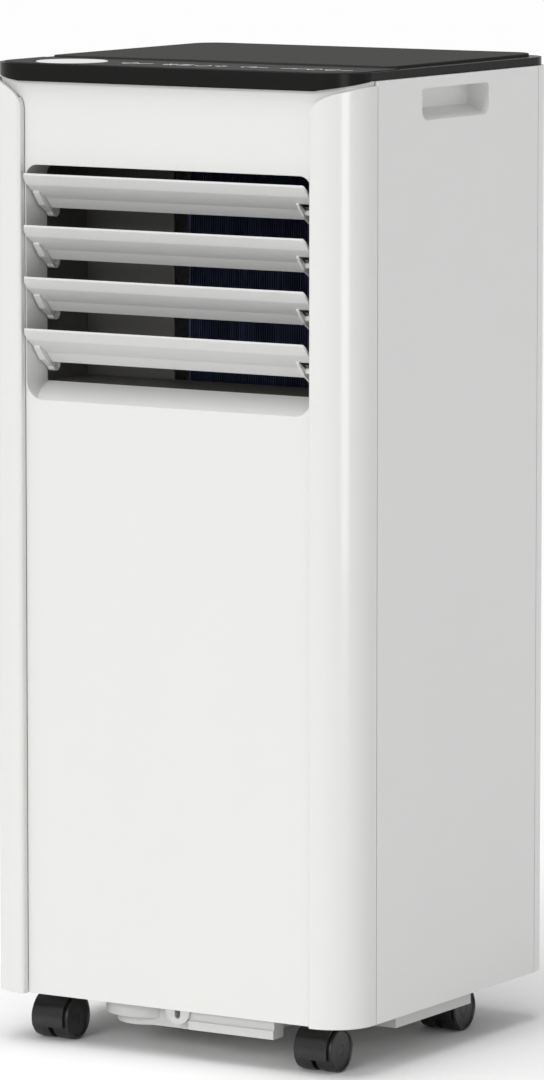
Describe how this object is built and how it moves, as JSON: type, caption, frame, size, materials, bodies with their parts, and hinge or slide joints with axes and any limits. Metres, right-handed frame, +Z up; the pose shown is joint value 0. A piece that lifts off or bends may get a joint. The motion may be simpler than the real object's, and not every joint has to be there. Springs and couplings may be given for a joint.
{
  "type": "portable air conditioner",
  "caption": "Tall white portable air conditioner on swivel casters, with a coupled louvre outlet in front, touch strip on top, rear exhaust collar and pull-out filters.",
  "frame": {"origin": "on the floor under the middle of the machine, halfway between the front louvre tips and the end of the rear exhaust collar", "axes": "+Z up, -Y towards the front louvres, +X to the right as seen from the front"},
  "size_m": [0.294, 0.2876, 0.6755],
  "materials": {
    "casing_white": "smooth moulded white plastic",
    "pillar_white": "glossy white plastic",
    "side_white": "satin moulded white plastic",
    "cap_black": "glossy black plastic",
    "plate_grey": "fine matt dark grey plastic",
    "strip_black": "glossy black touch strip",
    "lens_white": "smooth white display disc",
    "louvre_white": "satin off-white plastic",
    "duct_black": "matt black plastic",
    "fin_blue": "blue hydrophilic coated fins",
    "fin_bare": "bare aluminium fins",
    "housing_white": "matt white plastic",
    "blower_black": "matt black plastic",
    "motor_steel": "zinc plated steel",
    "compressor_black": "black enamel",
    "copper": "drawn copper tube",
    "board_green": "green solder mask",
    "tray_grey": "light grey moulded plastic",
    "caster_black": "semi-gloss black plastic",
    "wheel_black": "black plastic wheel",
    "axle_steel": "plated steel",
    "filter_mesh": "fine grey filter mesh",
    "rubber_black": "black rubber"
  },
  "bodies": {
    "root": {"front_panel": "casing_white", "left_pillar": "pillar_white", "right_pillar": "pillar_white", "left_side_panel": "side_white", "right_side_panel": "side_white", "rear_shell": "side_white", "base_tray": "tray_grey", "top_cover": "cap_black", "top_plate": "plate_grey", "control_strip": "strip_black", "display_lens": "lens_white", "outlet_duct": "duct_black", "duct_baffle": "duct_black", "evaporator_coil": "fin_blue", "upper_blower_housing": "housing_white", "upper_fan_motor": "motor_steel", "deck": "housing_white", "condenser_coil": "fin_bare", "lower_blower_housing": "housing_white", "lower_fan_motor": "motor_steel", "compressor": "compressor_black", "accumulator": "compressor_black", "suction_pipe": "copper", "discharge_pipe": "copper", "control_box": "compressor_black", "display_board": "board_green", "exhaust_collar": "casing_white", "cord_gland": "rubber_black", "rear_screw_left": "axle_steel", "rear_screw_right": "axle_steel"},
    "louvre_1": {"louvre_1": "louvre_white"},
    "louvre_2": {"louvre_2": "louvre_white"},
    "louvre_3": {"louvre_3": "louvre_white"},
    "louvre_4": {"louvre_4": "louvre_white"},
    "louvre_link": {"louvre_link": "duct_black"},
    "upper_blower": {"upper_blower_wheel": "blower_black"},
    "lower_blower": {"lower_blower_wheel": "blower_black"},
    "upper_filter": {"upper_filter_door": "side_white", "upper_filter_mesh": "filter_mesh"},
    "lower_filter": {"lower_filter_door": "side_white", "lower_filter_mesh": "filter_mesh"},
    "upper_drain_plug": {"upper_drain_plug": "rubber_black"},
    "lower_drain_plug": {"lower_drain_plug": "rubber_black"},
    "front_left_caster": {"front_left_caster_hood": "caster_black", "front_left_caster_axle": "axle_steel"},
    "front_left_wheel_right": {"front_left_caster_wheel_right": "wheel_black"},
    "front_left_wheel_left": {"front_left_caster_wheel_left": "wheel_black"},
    "front_right_caster": {"front_right_caster_hood": "caster_black", "front_right_caster_axle": "axle_steel"},
    "front_right_wheel_right": {"front_right_caster_wheel_right": "wheel_black"},
    "front_right_wheel_left": {"front_right_caster_wheel_left": "wheel_black"},
    "rear_left_caster": {"rear_left_caster_hood": "caster_black", "rear_left_caster_axle": "axle_steel"},
    "rear_left_wheel_right": {"rear_left_caster_wheel_right": "wheel_black"},
    "rear_left_wheel_left": {"rear_left_caster_wheel_left": "wheel_black"},
    "rear_right_caster": {"rear_right_caster_hood": "caster_black", "rear_right_caster_axle": "axle_steel"},
    "rear_right_wheel_right": {"rear_right_caster_wheel_right": "wheel_black"},
    "rear_right_wheel_left": {"rear_right_caster_wheel_left": "wheel_black"}
  },
  "joints": [
    {"name": "louvre_1_tilt", "type": "hinge", "parent": "root", "child": "louvre_1", "pos_m": [0, -0.12, 0.5797], "axis": [1, 0, 0], "range_deg": [-5, 90]},
    {"name": "louvre_2_tilt", "type": "hinge", "parent": "root", "child": "louvre_2", "pos_m": [0, -0.12, 0.5446], "axis": [1, 0, 0], "range_deg": [-5, 90]},
    {"name": "louvre_3_tilt", "type": "hinge", "parent": "root", "child": "louvre_3", "pos_m": [0, -0.12, 0.5095], "axis": [1, 0, 0], "range_deg": [-5, 90]},
    {"name": "louvre_4_tilt", "type": "hinge", "parent": "root", "child": "louvre_4", "pos_m": [0, -0.12, 0.4744], "axis": [1, 0, 0], "range_deg": [-5, 90]},
    {"name": "louvre_link_pin", "type": "hinge", "parent": "louvre_1", "child": "louvre_link", "pos_m": [0.0998, -0.109, 0.5727], "axis": [1, 0, 0], "range_deg": [-90, 5]},
    {"name": "upper_blower_spin", "type": "hinge", "parent": "root", "child": "upper_blower", "pos_m": [0, 0.059, 0.5246], "axis": [0, 1, 0], "continuous": true},
    {"name": "lower_blower_spin", "type": "hinge", "parent": "root", "child": "lower_blower", "pos_m": [0.02, 0.051, 0.14], "axis": [0, 1, 0], "continuous": true},
    {"name": "upper_filter_slide", "type": "slide", "parent": "root", "child": "upper_filter", "axis": [0, 1, 0], "range_m": [0, 0.06]},
    {"name": "lower_filter_slide", "type": "slide", "parent": "root", "child": "lower_filter", "axis": [0, 1, 0], "range_m": [0, 0.06]},
    {"name": "upper_drain_plug_pull", "type": "slide", "parent": "root", "child": "upper_drain_plug", "axis": [0, 1, 0], "range_m": [0, 0.02]},
    {"name": "lower_drain_plug_pull", "type": "slide", "parent": "root", "child": "lower_drain_plug", "axis": [0, 1, 0], "range_m": [0, 0.02]},
    {"name": "front_left_swivel", "type": "hinge", "parent": "root", "child": "front_left_caster", "pos_m": [-0.106, -0.1, 0.04], "axis": [0, 0, 1], "continuous": true},
    {"name": "front_left_spin_right", "type": "hinge", "parent": "front_left_caster", "child": "front_left_wheel_right", "pos_m": [-0.097, -0.108, 0.015], "axis": [1, 0, 0], "continuous": true},
    {"name": "front_left_spin_left", "type": "hinge", "parent": "front_left_caster", "child": "front_left_wheel_left", "pos_m": [-0.115, -0.108, 0.015], "axis": [1, 0, 0], "continuous": true},
    {"name": "front_right_swivel", "type": "hinge", "parent": "root", "child": "front_right_caster", "pos_m": [0.106, -0.1, 0.04], "axis": [0, 0, 1], "continuous": true},
    {"name": "front_right_spin_right", "type": "hinge", "parent": "front_right_caster", "child": "front_right_wheel_right", "pos_m": [0.115, -0.108, 0.015], "axis": [1, 0, 0], "continuous": true},
    {"name": "front_right_spin_left", "type": "hinge", "parent": "front_right_caster", "child": "front_right_wheel_left", "pos_m": [0.097, -0.108, 0.015], "axis": [1, 0, 0], "continuous": true},
    {"name": "rear_left_swivel", "type": "hinge", "parent": "root", "child": "rear_left_caster", "pos_m": [-0.106, 0.066, 0.04], "axis": [0, 0, 1], "continuous": true},
    {"name": "rear_left_spin_right", "type": "hinge", "parent": "rear_left_caster", "child": "rear_left_wheel_right", "pos_m": [-0.097, 0.058, 0.015], "axis": [1, 0, 0], "continuous": true},
    {"name": "rear_left_spin_left", "type": "hinge", "parent": "rear_left_caster", "child": "rear_left_wheel_left", "pos_m": [-0.115, 0.058, 0.015], "axis": [1, 0, 0], "continuous": true},
    {"name": "rear_right_swivel", "type": "hinge", "parent": "root", "child": "rear_right_caster", "pos_m": [0.106, 0.066, 0.04], "axis": [0, 0, 1], "continuous": true},
    {"name": "rear_right_spin_right", "type": "hinge", "parent": "rear_right_caster", "child": "rear_right_wheel_right", "pos_m": [0.115, 0.058, 0.015], "axis": [1, 0, 0], "continuous": true},
    {"name": "rear_right_spin_left", "type": "hinge", "parent": "rear_right_caster", "child": "rear_right_wheel_left", "pos_m": [0.097, 0.058, 0.015], "axis": [1, 0, 0], "continuous": true}
  ],
  "couplings": [
    {"joint": "louvre_2_tilt", "follows": "louvre_1_tilt", "ratio": 1},
    {"joint": "louvre_3_tilt", "follows": "louvre_1_tilt", "ratio": 1},
    {"joint": "louvre_4_tilt", "follows": "louvre_1_tilt", "ratio": 1},
    {"joint": "louvre_link_pin", "follows": "louvre_1_tilt", "ratio": -1}
  ]
}
